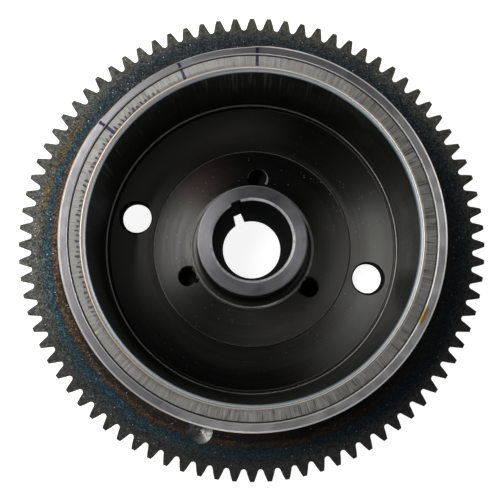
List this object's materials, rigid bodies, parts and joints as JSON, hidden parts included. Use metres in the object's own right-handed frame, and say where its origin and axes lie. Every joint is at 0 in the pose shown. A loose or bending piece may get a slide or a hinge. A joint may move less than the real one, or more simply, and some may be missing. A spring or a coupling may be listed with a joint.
{
  "type": "flywheel",
  "caption": "Small-engine magneto flywheel: steel cup with a starter ring gear round its closed end, a keyed taper boss, and a ring of magnets behind a thin liner.",
  "frame": {"origin": "on the crankshaft axis, at the centre of the boss's back face, which the flywheel rests on", "axes": "+Z along the crankshaft axis, out of the cup's open mouth; +X through the middle of a ring-gear tooth"},
  "size_m": [0.182, 0.182, 0.0565],
  "materials": {
    "shell_steel": "turned steel with a satin black oxide, bright on its cut edges",
    "boss_steel": "turned steel, satin grey face and dark flange",
    "gear_steel": "oxidised steel with heat tint in brown and blue-green",
    "liner_stainless": "drawn stainless sheet with fine radial wrinkles on its flange",
    "cage_plastic": "moulded black nylon, matte",
    "magnet_ferrite": "sintered ferrite, ground dark grey"
  },
  "bodies": {
    "root": {"rotor_shell": "shell_steel", "hub_boss": "boss_steel", "ring_gear": "gear_steel", "magnet_liner": "liner_stainless", "magnet_cage": "cage_plastic", "magnet_01": "magnet_ferrite", "magnet_02": "magnet_ferrite", "magnet_03": "magnet_ferrite", "magnet_04": "magnet_ferrite", "magnet_05": "magnet_ferrite", "magnet_06": "magnet_ferrite", "magnet_07": "magnet_ferrite", "magnet_08": "magnet_ferrite", "magnet_09": "magnet_ferrite", "magnet_10": "magnet_ferrite", "magnet_11": "magnet_ferrite", "magnet_12": "magnet_ferrite"}
  },
  "joints": []
}
